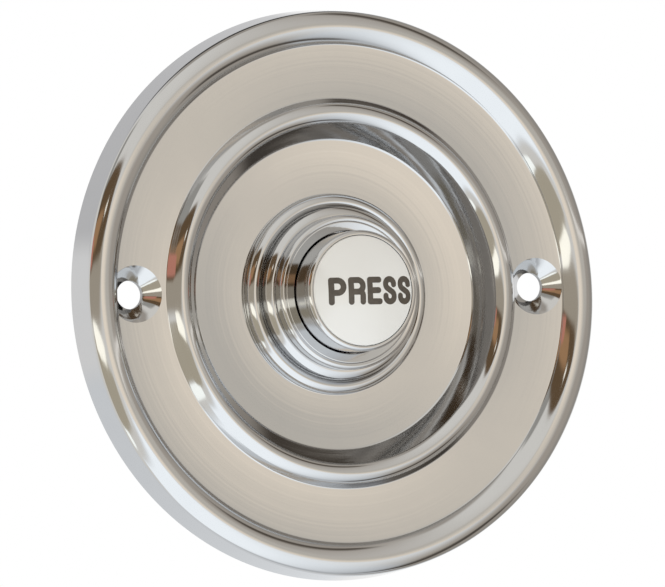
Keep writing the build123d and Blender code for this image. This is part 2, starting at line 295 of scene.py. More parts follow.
post_offset = (dish_radius + boss_radius) / 2
bore_mouth = BEZEL_TOP - BEZEL_TOP_DIP
sink_bottom = RING_HEIGHT - (COUNTERSINK_RADIUS - HOLE_RADIUS)
insert_radius = CHINA_RADIUS - CHINA_PLAY


# Outlines

def arc_about(centre, start, end, anticlockwise):
    """Points on a circle from start to end."""
    first = math.atan2(start[1] - centre[1], start[0] - centre[0])
    last = math.atan2(end[1] - centre[1], end[0] - centre[0])
    if anticlockwise and last < first:
        last += math.tau
    if not anticlockwise and last > first:
        last -= math.tau
    radius = math.dist(centre, start)
    count = max(3, math.ceil(abs(last - first) / ARC_STEP))
    angles = [first + (last - first) * k / count for k in range(count + 1)]
    return [(centre[0] + radius * math.cos(a), centre[1] + radius * math.sin(a)) for a in angles]


def arc_through(start, middle, end):
    """Points on the circle through three points."""
    (ax, ay), (bx, by), (cx, cy) = start, middle, end
    a, b, c = (x * x + y * y for x, y in (start, middle, end))
    scale = 2 * (ax * (by - cy) + bx * (cy - ay) + cx * (ay - by))
    centre = (
        (a * (by - cy) + b * (cy - ay) + c * (ay - by)) / scale,
        (a * (cx - bx) + b * (ax - cx) + c * (bx - ax)) / scale,
    )
    return arc_about(centre, start, end, scale > 0)


def arc_from(start, end, tangent):
    """Points on the circle that leaves start along the tangent."""
    way = (end[0] - start[0], end[1] - start[1])
    normal = (-tangent[1], tangent[0])
    reach = way[0] * normal[0] + way[1] * normal[1]
    radius = (way[0] ** 2 + way[1] ** 2) / (2 * reach)
    centre = (start[0] + normal[0] * radius, start[1] + normal[1] * radius)
    return arc_about(centre, start, end, radius > 0)


def bulged(start, end, bulge):
    """Points on the arc that leaves its chord by bulge, to the left of the way from start to end."""
    along = (end[0] - start[0], end[1] - start[1])
    length = math.hypot(*along)
    middle = (
        (start[0] + end[0]) / 2 - along[1] / length * bulge,
        (start[1] + end[1]) / 2 + along[0] / length * bulge,
    )
    return arc_through(start, middle, end)


def rounded(points, radii):
    """The points with an arc of the given radius in place of each inner corner."""
    made = [points[0]]
    for before, corner, after, radius in zip(points, points[1:], points[2:], radii):
        corner = Vector(corner)
        back = (Vector(before) - corner).normalized()
        on = (Vector(after) - corner).normalized()
        half = back.angle(on) / 2
        reach = radius / math.tan(half)
        centre = corner + (back + on).normalized() * (radius / math.sin(half))
        turns_left = back.x * on.y - back.y * on.x < 0
        made += arc_about(centre, corner + back * reach, corner + on * reach, turns_left)
    return made + [points[-1]]


def distinct(points):
    """The points without those that repeat the one before."""
    kept = [points[0]]
    for point in points[1:]:
        if math.dist(point, kept[-1]) > SAME_PLACE:
            kept.append(point)
    return kept


def along_from(points, index, step, distance):
    """Place reached by going that far along the points, and the index of the point just past it."""
    here = points[index]
    while 0 <= index + step < len(points):
        there = points[index + step]
        length = math.dist(here, there)
        if length > distance:
            share = distance / length
            return (here[0] + (there[0] - here[0]) * share, here[1] + (there[1] - here[1]) * share), index + step
        distance -= length
        here = there
        index += step
    return here, index


def eased(points, size):
    """Outline with a small round of the given size in place of each corner."""
    points = distinct(points)
    made = [points[0]]
    index = 1
    while index < len(points) - 1:
        before = Vector(points[index]) - Vector(points[index - 1])
        after = Vector(points[index + 1]) - Vector(points[index])
        if before.angle(after) < CORNER_TURN:
            made.append(points[index])
            index += 1
            continue
        rest = math.dist(points[index], points[-1])
        reach = min(size, EASE_SHARE * before.length + size * EASE_SPARE, EASE_SHARE * rest)
        start, _ = along_from(points, index, -1, reach)
        end, following = along_from(points, index, 1, reach)
        while len(made) > 1 and math.dist(made[-1], points[index]) < reach:
            made.pop()
        for k in range(CORNER_STEPS + 1):
            t = k / CORNER_STEPS
            made.append(tuple(
                (1 - t) ** 2 * s + 2 * t * (1 - t) * c + t * t * e
                for s, c, e in zip(start, points[index], end)
            ))
        index = following
    made.append(points[-1])
    return distinct(made)


def with_supports(points, inset):
    """Outline with an extra point close to both ends of each long straight run, to keep flat faces flat."""
    made = [points[0]]
    for start, end in zip(points, points[1:]):
        length = math.dist(start, end)
        if length > 4 * inset:
            for share in (inset / length, 1 - inset / length):
                made.append((start[0] + (end[0] - start[0]) * share, start[1] + (end[1] - start[1]) * share))
        made.append(end)
    return made


def swept_up(radius, height, way, width, rise):
    """Last stretch of a flat, which buffing leaves rising a little towards the bead beside it."""
    shares = [k / SWEEP_STEPS for k in range(SWEEP_STEPS + 1)]
    return [(radius - way * width * (1 - share), height + rise * share ** 2) for share in shares]


def closed_outline(points, size):
    """Closed outline with its corners eased, the one where it starts apart."""
    return with_supports(eased(points + [points[0]], size)[:-1], size)


def run(radius, start, end, step):
    """Points at one radius from one height to another, close enough to carry a thread."""
    count = math.ceil(abs(end - start) / step)
    return [(radius, start + (end - start) * k / count) for k in range(count + 1)]


def rod(radius, low, high):
    """Outline of a plain cylinder."""
    return [(0, low), (radius, low), (radius, high), (0, high)]


def tube(bore, radius, low, high):
    """Closed outline of a plain ring."""
    return [(bore, low), (radius, low), (radius, high), (bore, high)]


# Meshes

def mesh_object(name, bm):
    """New object from a bmesh, shaded smooth."""
    bmesh.ops.recalc_face_normals(bm, faces=bm.faces)
    mesh = bpy.data.meshes.new(name)
    bm.to_mesh(mesh)
    bm.free()
    mesh.shade_smooth()
    made = bpy.data.objects.new(name, mesh)
    bpy.context.scene.collection.objects.link(made)
    return made


def at(across, up, height):
    """Place in the frame, in metres, of a point given across the face, up it and out of the wall."""
    return (across * MM, -height * MM, up * MM)


def turned(name, outline, centre=(0, 0), steps=TURN_STEPS, cut=None):
    """Piece turned about an axis through centre from an outline of radius and height.

    The outline is closed unless it starts on the axis. Cut, for a thread, gives the radius at a radius, height
    and angle."""
    bm = bmesh.new()
    rings = []
    for radius, height in outline:
        if radius < TINY:
            rings.append([bm.verts.new(at(*centre, height))] * steps)
            continue
        ring = []
        for k in range(steps):
            angle = math.tau * k / steps
            reach = cut(radius, height, angle) if cut else radius
            place = (centre[0] + reach * math.cos(angle), centre[1] + reach * math.sin(angle))
            ring.append(bm.verts.new(at(*place, height)))
        rings.append(ring)
    pairs = list(zip(rings, rings[1:]))
    if outline[0][0] > TINY:
        pairs.append((rings[-1], rings[0]))
    for low, high in pairs:
        for k in range(steps):
            corners = (low[k], low[k - 1], high[k - 1], high[k])
            bm.faces.new(list(dict.fromkeys(corners)))
    return mesh_object(name, bm)


def threaded(radius, low, high, pitch, depth):
    """Cut for a right-hand thread on a run of the given radius, which fades out at both ends."""
    def cut(reach, height, angle):
        if abs(reach - radius) > TINY or not low < height < high:
            return reach
        turn = (height / pitch - angle / math.tau) % 1
        fade = min(1, (height - low) / pitch, (high - height) / pitch)
        return reach - depth * fade * (1 - abs(2 * turn - 1))
    return cut


def skinned(name, bm, rings):
    """Piece with faces between rings of points and over both ends."""
    for low, high in zip(rings, rings[1:]):
        for k in range(len(low)):
            bm.faces.new((low[k], low[k - 1], high[k - 1], high[k]))
    bm.faces.new(rings[0])
    bm.faces.new(rings[-1][::-1])
    return mesh_object(name, bm)


def prism(name, loop, levels):
    """Piece raised from a closed loop of points, with a height and an inset for each level."""
    bm = bmesh.new()
    count = len(loop)
    ways = []
    for k in range(count):
        way = (Vector(loop[(k + 1) % count]) - Vector(loop[k - 1])).normalized()
        ways.append((-way.y, way.x))
    rings = []
    for height, inset in levels:
        rings.append([
            bm.verts.new(at(x + way[0] * inset, y + way[1] * inset, height))
            for (x, y), way in zip(loop, ways)
        ])
    return skinned(name, bm, rings)


def block(name, low, high):
    """Plain block between two corners, each given across, up and out."""
    (left, bottom, back), (right, top, front) = low, high
    loop = [(left, bottom), (right, bottom), (right, top), (left, top)]
    return prism(name, loop, [(back, 0), (front, 0)])


def carved(piece, tools, operation):
    """Piece after a Boolean with each tool, which is then removed."""
    for tool in tools:
        modifier = piece.modifiers.new(tool.name, "BOOLEAN")
        modifier.operation = operation
        modifier.object = tool
        modifier.solver = "EXACT"
    settle(piece)
    for tool in tools:
        bpy.data.objects.remove(tool)
    return piece


def softened(piece, width, angle=SOFT_ANGLE):
    """Piece with a small round of the given width along its sharp edges."""
    modifier = piece.modifiers.new("soft edges", "BEVEL")
    modifier.width = width * MM
    modifier.segments = 2
    modifier.limit_method = "ANGLE"
    modifier.angle_limit = math.radians(angle)
    modifier.use_clamp_overlap = True
    settle(piece)
    return piece


def settle(piece):
    """Makes a piece's modifiers part of its mesh."""
    bpy.context.view_layer.update()
    evaluated = piece.evaluated_get(bpy.context.evaluated_depsgraph_get())
    mesh = bpy.data.meshes.new_from_object(evaluated)
    piece.modifiers.clear()
    piece.data = mesh


def sharpened(piece, angle=SHARP_ANGLE):
    """Piece shaded smooth apart from its sharp edges."""
    piece.data.shade_smooth()
    piece.data.set_sharp_from_angle(angle=math.radians(angle))
    return piece


def node_span(cad_node):
    """A node's middle, across and up, its half width and half height there, and its back and front."""
    low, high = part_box(cad_node)
    middle = ((low[0] + high[0]) / 2 / MM, (low[2] + high[2]) / 2 / MM)
    return middle, (high[0] - low[0]) / 2 / MM, (high[2] - low[2]) / 2 / MM, -high[1] / MM, -low[1] / MM


# Materials

# Sockets of a mix node that carry colours
MIX_INPUTS = (6, 7)
MIX_OUTPUT = 2


def material(name, **values):
    """New material with constants set on its shader, its node tree and its shader."""
    made = bpy.data.materials.new(name)
    made.use_nodes = True
    shader = made.node_tree.nodes["Principled BSDF"]
    for socket, value in values.items():
        shader.inputs[socket.replace("_", " ")].default_value = value
    return made, made.node_tree, shader


def node(tree, kind, **settings):
    """New node with its settings."""
    made = tree.nodes.new(kind)
    for name, value in settings.items():
        setattr(made, name, value)
    return made


def value_of(tree, socket, given):
    """Puts a number on a socket or links another socket to it."""
    if isinstance(given, bpy.types.NodeSocket):
        tree.links.new(given, socket)
    else:
        socket.default_value = given


def mixed(tree, factor, first, second):
    """Colour between two others."""
    made = node(tree, "ShaderNodeMix", data_type="RGBA")
    value_of(tree, made.inputs["Factor"], factor)
    for socket, given in zip(MIX_INPUTS, (first, second)):
        value_of(tree, made.inputs[socket], given)
    return made.outputs[MIX_OUTPUT]


def noise(tree, scale, detail=2.0):
    """Noise over the piece's own place, at a scale per metre."""
    place = node(tree, "ShaderNodeTexCoord")
    made = node(tree, "ShaderNodeTexNoise")
    made.inputs["Scale"].default_value = scale
    made.inputs["Detail"].default_value = detail
    tree.links.new(place.outputs["Object"], made.inputs["Vector"])
    return made.outputs["Fac"]


def ranged(tree, value, low, high):
    """Value from 0 to 1 spread over low to high."""
    made = node(tree, "ShaderNodeMapRange")
    made.inputs["To Min"].default_value = low
    made.inputs["To Max"].default_value = high
    tree.links.new(value, made.inputs["Value"])
    return made.outputs["Result"]


def bumped(tree, shader, value, depth):
    """Bump of the given depth in metres, over any that the shader has."""
    made = node(tree, "ShaderNodeBump")
    made.inputs["Distance"].default_value = depth
    tree.links.new(value, made.inputs["Height"])
    for link in shader.inputs["Normal"].links:
        tree.links.new(link.from_socket, made.inputs["Normal"])
    tree.links.new(made.outputs["Normal"], shader.inputs["Normal"])


def rings(tree, scale):
    """Noise that changes only with the distance from the button's axis, at a scale per metre."""
    place = node(tree, "ShaderNodeTexCoord")
    flat = node(tree, "ShaderNodeVectorMath", operation="MULTIPLY")
    tree.links.new(place.outputs["Object"], flat.inputs[0])
    flat.inputs[1].default_value = (1, 0, 1)
    reach = node(tree, "ShaderNodeVectorMath", operation="LENGTH")
    tree.links.new(flat.outputs["Vector"], reach.inputs[0])
    made = node(tree, "ShaderNodeTexNoise", noise_dimensions="1D")
    made.inputs["Scale"].default_value = scale
    tree.links.new(reach.outputs["Value"], made.inputs["W"])
    return made.outputs["Fac"]


def shaded(tree, shader, value, dark, light):
    """Base colour that wanders between a darker and a lighter one."""
    tree.links.new(mixed(tree, value, (*dark, 1), (*light, 1)), shader.inputs["Base Color"])


def finished(tree, shader, shades, gloss, grain):
    """Lets colour, roughness and surface wander, each by a noise given as its scale per metre and its detail.

    Shades are a darker and a lighter colour, gloss two roughnesses and grain a depth in metres, with the noise last."""
    dark, light, colour_noise = shades
    smooth, rough, gloss_noise = gloss
    depth, grain_noise = grain
    shaded(tree, shader, noise(tree, *colour_noise), dark, light)
    tree.links.new(ranged(tree, noise(tree, *gloss_noise), smooth, rough), shader.inputs["Roughness"])
    bumped(tree, shader, noise(tree, *grain_noise), depth)


def metal(name, dark, light, smooth, rough, grain, wave=2500.0):
    """Metal whose colour and roughness wander a little, with a fine grain of the given depth in metres."""
    made, tree, shader = material(name, Metallic=1.0)
    finished(tree, shader, (dark, light, (300.0, 3.0)), (smooth, rough, (900.0, 3.0)), (grain, (wave, 3.0)))
    return made


def moulding(name, dark, light, smooth, rough, grain):
    """Moulded plastic with a mottled colour and a fine skin of the given depth in metres."""
    made, tree, shader = material(name, IOR=1.5)
    finished(tree, shader, (dark, light, (220.0, 5.0)), (smooth, rough, (500.0, 3.0)), (grain, (1600.0, 3.0)))
    return made


def polished_chrome():
    """Plating polished on a lathe, with the slight waves of the casting and faint turning lines."""
    made = metal(
        "polished_chrome", dark=(0.555, 0.555, 0.56), light=(0.575, 0.575, 0.575),
        smooth=0.055, rough=0.09, grain=0.000006, wave=160.0,
    )
    tree = made.node_tree
    bumped(tree, tree.nodes["Principled BSDF"], rings(tree, scale=1600.0), depth=0.000004)
    return made


def cast_back():
    """Unpolished plating on the sanded back."""
    return metal("cast_back", (0.36, 0.355, 0.35), (0.46, 0.455, 0.45), 0.32, 0.5, 0.00005, 1800.0)


def glazed_china():
    """White china under a clear glaze that is slightly uneven."""
    made, tree, shader = material("glazed_china", Coat_Weight=0.6, Coat_Roughness=0.04, Coat_IOR=1.5, IOR=1.5)
    shades = ((0.78, 0.785, 0.77), (0.82, 0.83, 0.825), (120.0, 3.0))
    finished(tree, shader, shades, (0.12, 0.2, (400.0, 2.0)), (0.00001, (240.0, 2.0)))
    return made


def fired_ink():
    """Dark fired print, thinner here and there."""
    made, tree, shader = material("fired_ink", IOR=1.5, Roughness=0.28)
    shaded(tree, shader, noise(tree, 1500.0, 3.0), (0.05, 0.042, 0.034), (0.11, 0.092, 0.074))
    return made


# Pieces seen from the front

def face_plate(chrome, cast):
    """Stepped plate: rim, outer bead, flat ring, inner bead, dish and boss, with its holes and cored back."""
    rim_edge = (rim_edge_radius, RIM_HEIGHT)
    crest = (crest_radius, crest_height)
    flank = (flank_radius, flank_height)
    ring_outer = (ring_outer_radius, RING_HEIGHT)
    ring_inner = (ring_inner_radius, RING_HEIGHT)
    inner_peak = (peak_radius, peak_height)
    dish_corner = (dish_corner_radius + DISH_ROLL[1] / math.tan(BEAD_SLOPE), DISH_HEIGHT + DISH_ROLL[1])
    boss_foot = (boss_radius, DISH_HEIGHT)
    boss_wall = (boss_radius, DISH_HEIGHT + BOSS_BEAD_WALL)
    boss_seat = (BOSS_SEAT_RADIUS, SEAT_HEIGHT)
    outline = eased([(PLATE_RADIUS, 0)] + arc_from(crest, rim_edge, (1, 0))[::-1], RIM_ROUND)
    outline += arc_from(crest, flank, (-1, 0))
    outline += swept_up(*ring_outer, 1, *RING_ROLL)[::-1]
    outline += swept_up(*ring_inner, -1, *RING_ROLL)
    floor_edge = swept_up(dish_radius, DISH_HEIGHT, 1, *DISH_ROLL)[::-1]
    outline += rounded([ring_inner, inner_peak, dish_corner, floor_edge[1]], (INNER_BEAD_ROUND, DISH_COVE_ROUND))[1:]
    outline += floor_edge[2:] + [boss_foot]
    outline += bulged(boss_seat, boss_wall, BOSS_BEAD_BULGE)[::-1]
    outline += [
        (PLATE_BORE_RADIUS, SEAT_HEIGHT),
        (PLATE_BORE_RADIUS, SEAT_BACK),
        (POCKET_RADIUS, SEAT_BACK),
        (POCKET_RADIUS, DISH_BACK),
        (core_radius, DISH_BACK),
        (core_radius + CORE_SLOPE, RING_BACK),
        (outer_core_radius - CORE_SLOPE, RING_BACK),
        (outer_core_radius, BEAD_BACK),
        (PLATE_RADIUS - RIM_WALL - CORE_SLOPE, BEAD_BACK),
        (PLATE_RADIUS - RIM_WALL, 0),
    ]
    plate = turned("face_plate_polished", closed_outline(outline, PLATE_EDGE))
    bosses = []
    drills = []
    for end in ENDS.values():
        place = (0, end * post_offset)
        boss = rod(SCREW_BOSS_RADIUS, POST_SEAT, SCREW_BOSS_ROOT)
        bosses.append(turned("boss", eased(boss, BOSS_EDGE), place, SMALL_STEPS))
        tapped = rod(TAPPED_RADIUS, POST_SEAT - OVERSHOOT, TAPPED_END)
        drills.append(turned("tapping", tapped, place, SMALL_STEPS))
    for place in HOLE_PLACES:
        hole = [(0, -OVERSHOOT), (HOLE_RADIUS, -OVERSHOOT)]
        hole += bulged((HOLE_RADIUS, sink_bottom), (COUNTERSINK_RADIUS, RING_HEIGHT), COUNTERSINK_BULGE)
        hole_top = RING_HEIGHT + SINK_OVERSHOOT
        hole += [(COUNTERSINK_RADIUS + OVERSHOOT, hole_top), (0, hole_top)]
        flat_ring = tube(ring_inner_radius, ring_outer_radius, -2 * OVERSHOOT, crest_height)
        drills.append(carved(
            turned("hole", hole, place, SMALL_STEPS), [turned("flat ring", flat_ring)], "INTERSECT"
        ))
    carved(plate, bosses, "UNION")
    carved(plate, drills, "DIFFERENCE")
    sharpened(plate, PLATE_SHARP_ANGLE)
    plate.data.materials.clear()
    plate.data.materials.append(chrome)
    plate.data.materials.append(cast)
    for face in plate.data.polygons:
        upright = abs(face.normal.y) <= BACK_LEAN
        if face.normal.y > BACK_LEAN or upright and -face.center.y < sink_bottom * MM:
            face.material_index = 1
    return plate


def push_bezel():
    """Turned ring of two steps on its threaded sleeve."""
    step_end = (UPPER_STEP_RADIUS + STEP_GROOVE / 2, BEZEL_GROOVE)
    round_start = (UPPER_STEP_RADIUS, BEZEL_TOP - UPPER_STEP_ROUND)
    round_end = (UPPER_STEP_RADIUS - UPPER_STEP_ROUND, BEZEL_TOP)
    step_edge = (BEZEL_RADIUS, BEZEL_GROOVE - LOWER_STEP_CROWN)
    outline = arc_from(step_end, step_edge, (1, 0))[::-1]
    outline += [
        (UPPER_STEP_RADIUS - STEP_GROOVE, BEZEL_GROOVE),
        (UPPER_STEP_RADIUS, BEZEL_GROOVE + STEP_GROOVE),
    ]
    outline += arc_from(round_start, round_end, (0, 1))
    fall = BEZEL_TOP_DIP / (round_end[0] - GUIDE_RADIUS)
    for reach, depth in ((0.5, 0), (0, TOP_LINE_DEPTH), (-0.5, 0)):
        radius = TOP_LINE_RADIUS + reach * TOP_LINE_WIDTH
        outline.append((radius, BEZEL_TOP - (round_end[0] - radius) * fall - depth))
    outline += [
        (GUIDE_RADIUS + BORE_CHAMFER, bore_mouth),
        (GUIDE_RADIUS, bore_mouth - BORE_CHAMFER),
        (GUIDE_RADIUS, SHOULDER),
        (COUNTERBORE_RADIUS, SHOULDER),
        (COUNTERBORE_RADIUS, SLEEVE_END),
    ]
    outline += run(SLEEVE_RADIUS, SLEEVE_END, SEAT_BACK, SLEEVE_PITCH / THREAD_STEPS)
    outline += [(SLEEVE_RADIUS, SEAT_HEIGHT), (BEZEL_RADIUS, SEAT_HEIGHT)]
    thread = threaded(SLEEVE_RADIUS, SLEEVE_END, SEAT_BACK, SLEEVE_PITCH, SLEEVE_THREAD_DEPTH)
    return sharpened(turned("push_bezel_polished", closed_outline(outline, BEZEL_EDGE), cut=thread))


def button_barrel():
    """Turned cup of the button, with its flange and stem."""
    outline = [(0, CHINA_BED), (CHINA_RADIUS, CHINA_BED), (CHINA_RADIUS, CHINA_SEAM)]
    outline += arc_from((BARREL_RADIUS - BARREL_EDGE, CHINA_SEAM), (BARREL_RADIUS, BARREL_TOP), (1, 0))
    outline += [
        (BARREL_RADIUS, FLANGE_FRONT),
        (FLANGE_RADIUS, FLANGE_FRONT),
        (FLANGE_RADIUS, FLANGE_BACK),
        (SKIRT_RADIUS, FLANGE_BACK),
        (SKIRT_RADIUS, WEB_BACK),
        (STEM_RADIUS, WEB_BACK),
        (STEM_RADIUS, STEM_END),
        (0, STEM_END),
    ]
    outline = with_supports(eased(outline, BUTTON_EDGE), BUTTON_SUPPORT)
    return sharpened(turned("button_barrel_polished", outline))


def china_insert():
    """Domed face of the button."""
    outline = arc_from((0, CHINA_SEAM + CHINA_CROWN), (insert_radius, CHINA_SEAM), (1, 0))
    outline += [(insert_radius, CHINA_BED), (0, CHINA_BED)]
    return sharpened(turned("china_insert_glazed", eased(outline, CHINA_EDGE)), CHINA_SHARP_ANGLE)


def dome_height(across, up):
    """Height of the china's face at a place across and up it."""
    bow = (insert_radius ** 2 + CHINA_CROWN ** 2) / (2 * CHINA_CROWN)
    return CHINA_SEAM + CHINA_CROWN - bow + math.sqrt(bow ** 2 - across ** 2 - up ** 2)


def pen_stroke(path):
    """Tool along a path, as wide as the pen and round at both ends."""
    path = [Vector(point) for point in distinct([tuple(point) for point in path])]
    left, right = [], []
    for k, point in enumerate(path):
        way = (path[min(k + 1, len(path) - 1)] - path[max(k - 1, 0)]).normalized()
        side = Vector((-way.y, way.x)) * (LEGEND_PEN / 2)
        left.append(point + side)
        right.append(point - side)
    inner = slice(CAP_STRIDE, -CAP_STRIDE, CAP_STRIDE)
    loop = left + arc_about(path[-1], left[-1], right[-1], False)[inner]
    loop += right[::-1] + arc_about(path[0], right[0], left[0], False)[inner]
    return prism("stroke", loop, [(CHINA_SEAM - OVERSHOOT, 0), (CHINA_SEAM + CHINA_CROWN + OVERSHOOT, 0)])


def legend():
    """Print on the china: strokes of a pen joined into letters, as a thin skin that follows the dome."""
    bm = bmesh.new()
    for letter, shift in LEGEND:
        strokes = []
        for points, radii in LETTERS[letter]:
            placed = [(LEGEND_START[0] + shift + x, LEGEND_START[1] + y) for x, y in points]
            strokes.append(pen_stroke(rounded(placed, radii)))
        drawn = carved(strokes[0], strokes[1:], "UNION")
        bm.from_mesh(drawn.data)
        bpy.data.objects.remove(drawn)
    bm.normal_update()
    unseen = [face for face in bm.faces if face.normal.y > LEGEND_FACING]
    bmesh.ops.delete(bm, geom=unseen, context="FACES")
    bmesh.ops.triangulate(bm, faces=bm.faces[:])
    half = math.ceil(CHINA_RADIUS / LEGEND_GRID)
    for axis in (Vector((1, 0, 0)), Vector((0, 0, 1))):
        for k in range(-half, half):
            parts = bm.verts[:] + bm.edges[:] + bm.faces[:]
            bmesh.ops.bisect_plane(bm, geom=parts, plane_co=axis * (k * LEGEND_GRID * MM), plane_no=axis)
    raised = bmesh.ops.extrude_face_region(bm, geom=bm.faces[:])["geom"]
    upper = {part for part in raised if isinstance(part, bmesh.types.BMVert)}
    for vertex in bm.verts:
        across, up = vertex.co.x / MM, vertex.co.z / MM
        proud = LEGEND_PROUD if vertex in upper else -LEGEND_PROUD
        vertex.co = at(across, up, dome_height(across, up) + proud)
    return sharpened(mesh_object("press_legend", bm), CHINA_SHARP_ANGLE)


# Pieces behind the plate

def plunger_tip():
    """Moulded cap on the stem."""
    cheek = (TIP_RADIUS, TIP_END + TIP_RADIUS - TIP_NOSE_RADIUS)
    outline = [(0, STEM_END), (TIP_BORE_RADIUS, STEM_END), (TIP_BORE_RADIUS, TIP_FRONT), (TIP_RADIUS, TIP_FRONT)]
    outline += arc_from((TIP_NOSE_RADIUS, TIP_END), cheek, (1, 0))[::-1]
    outline += [(0, TIP_END)]
    outline = with_supports(eased(outline, TIP_EDGE), TIP_SUPPORT)
    return sharpened(turned("plunger_tip_moulded", outline, steps=SMALL_STEPS))


def washer(name, cad_node, bore):
    """Plain washer with its edges broken."""
    middle, radius, _, back, front = node_span(cad_node)
    outline = tube(bore, radius, back, front)
    return sharpened(turned(name, closed_outline(outline, WASHER_ROUND), middle, SMALL_STEPS))


def bezel_washer():
    """Spring washer, split on one side."""
    piece = washer("bezel_washer_split", "bezel_washer", NUT_BORE_RADIUS)
    split = WASHER_SPLIT / 2
    low = (NUT_BORE_RADIUS - OVERSHOOT, -split, -OVERSHOOT)
    tool = block("split", low, (NUT_BORE_RADIUS + SPLIT_REACH, split, SPLIT_TOP))
    return sharpened(carved(piece, [tool], "DIFFERENCE"))


def bezel_nut():
    """Ring nut with chamfered edges and slots for a pin spanner in its back."""
    middle, radius, _, back, front = node_span("bezel_nut")
    outline = tube(NUT_BORE_RADIUS, radius, back, front)
    nut = turned("bezel_nut_turned", closed_outline(outline, NUT_EDGE), middle)
    slots = []
    for k in range(NUT_SLOTS):
        turn = math.tau * k / NUT_SLOTS
        way, side = Vector((math.cos(turn), math.sin(turn))), Vector((-math.sin(turn), math.cos(turn)))
        half = side * NUT_SLOT_WIDTH / 2
        near, far = way * (NUT_BORE_RADIUS - 2 * OVERSHOOT), way * (radius + 2 * OVERSHOOT)
        loop = [near - half, far - half, far + half, near + half]
        slots.append(prism("slot", loop, [(back - OVERSHOOT, 0), (back + NUT_SLOT_DEPTH, 0)]))
    return sharpened(softened(carved(nut, slots, "DIFFERENCE"), SLOT_EDGE))


def slotted_screw(kind, where):
    """Cheese-head screw with a slot and a cut thread."""
    radius, slot, pitch = SCREW_SIZES[kind]
    middle, head_radius, _, back, tip = node_span(f"{kind}_screw_{where}")
    seat = node_span(f"{kind}_washer_{where}")[3]
    x, y = middle
    head = rod(head_radius, back, seat)
    screw = turned(f"{kind}_screw_{where}_cut", eased(head, HEAD_ROUND), middle, SMALL_STEPS)
    depth = (seat - back) / 2
    reach = 2 * head_radius
    low = (x - reach, y - slot / 2, back - OVERSHOOT)
    tool = block("slot", low, (x + reach, y + slot / 2, back + depth))
    softened(carved(screw, [tool], "DIFFERENCE"), SCREW_EDGE)
    root = seat - depth / 2
    shank = [(0, root)] + run(radius, root, tip - radius * SHANK_TAPER, pitch / THREAD_STEPS)
    shank += [(radius * (1 - SHANK_TAPER), tip), (0, tip)]
    thread = threaded(radius, seat + pitch / 2, tip, pitch, pitch * THREAD_SHARE)
    carved(screw, [turned("shank", shank, middle, SMALL_STEPS // 2, thread)], "UNION")
    return sharpened(screw)


def hexagon_nut(where):
    """Hexagon nut with its corners chamfered at both ends."""
    middle, half_width, half_height, back, front = node_span(f"terminal_nut_{where}")
    corner = max(half_width, half_height)
    first = 0 if half_width > half_height else math.pi / 6
    loop = []
    for k in range(6):
        turn = first + math.tau * k / 6
        loop.append((middle[0] + corner * math.cos(turn), middle[1] + corner * math.sin(turn)))
    nut = prism(f"terminal_nut_{where}_cut", loop, [(back, 0), (front, 0)])
    bore = SCREW_SIZES["terminal"][0] + THREAD_CLEARANCE
    face = min(half_width, half_height) * NUT_FACE_SHARE
    drop = (corner - face) * math.tan(NUT_CHAMFER)
    mouth = bore + NUT_BORE_CHAMFER
    barrel = [
        (mouth, back), (face, back), (corner, back + drop),
        (corner, front - drop), (face, front), (mouth, front),
        (bore, front - NUT_BORE_CHAMFER), (bore, back + NUT_BORE_CHAMFER),
    ]
    carved(nut, [turned("chamfer", barrel, middle, SMALL_STEPS)], "INTERSECT")
    return sharpened(softened(nut, SCREW_EDGE, HEXAGON_SOFT_ANGLE))


def base_outline():
    """Loop round the contact base: a disc with an ear at each post, and a fillet on each side of an ear."""
    far, near = BASE_RADIUS + EAR_FILLET, POST_RADIUS + EAR_FILLET
    up = (far ** 2 - near ** 2 + post_offset ** 2) / (2 * post_offset)
    across = math.sqrt(far ** 2 - up ** 2)
    loop = []
    for end in ENDS.values():
        post = Vector((0, end * post_offset))
        first, last = Vector((end * across, end * up)), Vector((-end * across, end * up))
        on_disc = [c * (BASE_RADIUS / far) for c in (first, last)]
        on_ear = [post + (c - post) * (POST_RADIUS / near) for c in (first, last)]
        loop += arc_about(first, on_disc[0], on_ear[0], False)
        loop += arc_about(post, on_ear[0], on_ear[1], True)
        loop += arc_about(last, on_ear[1], on_disc[1], False)
        loop += arc_about((0, 0), on_disc[1], -on_disc[0], True)
    return distinct(loop)[:-1]


def contact_base():
    """Moulded disc on two posts, with guides for the strips and a barrier between the terminals."""
    levels = [(BASE_BACK, BASE_EDGE), (BASE_BACK + BASE_EDGE, 0), (BASE_FRONT - BASE_EDGE, 0), (BASE_FRONT, BASE_EDGE)]
    base = prism("contact_base_moulded", base_outline(), levels)
    barrier = post_offset - POST_RADIUS - BARRIER_END
    added = [block(
        "barrier",
        (-BARRIER_WIDTH / 2, -barrier, BASE_BACK - BARRIER_HEIGHT),
        (BARRIER_WIDTH / 2, barrier, BASE_BACK + BASE_EDGE),
    )]
    drills = []
    for side in SIDES.values():
        place = (side * TERMINAL_OFFSET, 0)
        for end in ENDS.values():
            x, y = place[0], end * GUIDE_OFFSET
            added.append(block(
                "guide",
                (x - GUIDE_LENGTH / 2, y - GUIDE_WIDTH / 2, BASE_FRONT - BASE_EDGE),
                (x + GUIDE_LENGTH / 2, y + GUIDE_WIDTH / 2, BASE_FRONT + GUIDE_HEIGHT),
            ))
        drills.append(drill("terminal", place))
    for end in ENDS.values():
        place = (0, end * post_offset)
        post = rod(POST_RADIUS, BASE_BACK + OVERSHOOT, POST_SEAT)
        added.append(turned("post", post, place, SMALL_STEPS))
        drills.append(drill("base", place))
    carved(base, added, "UNION")
    carved(base, drills, "DIFFERENCE")
    return sharpened(softened(base, MOULDED_EDGE))


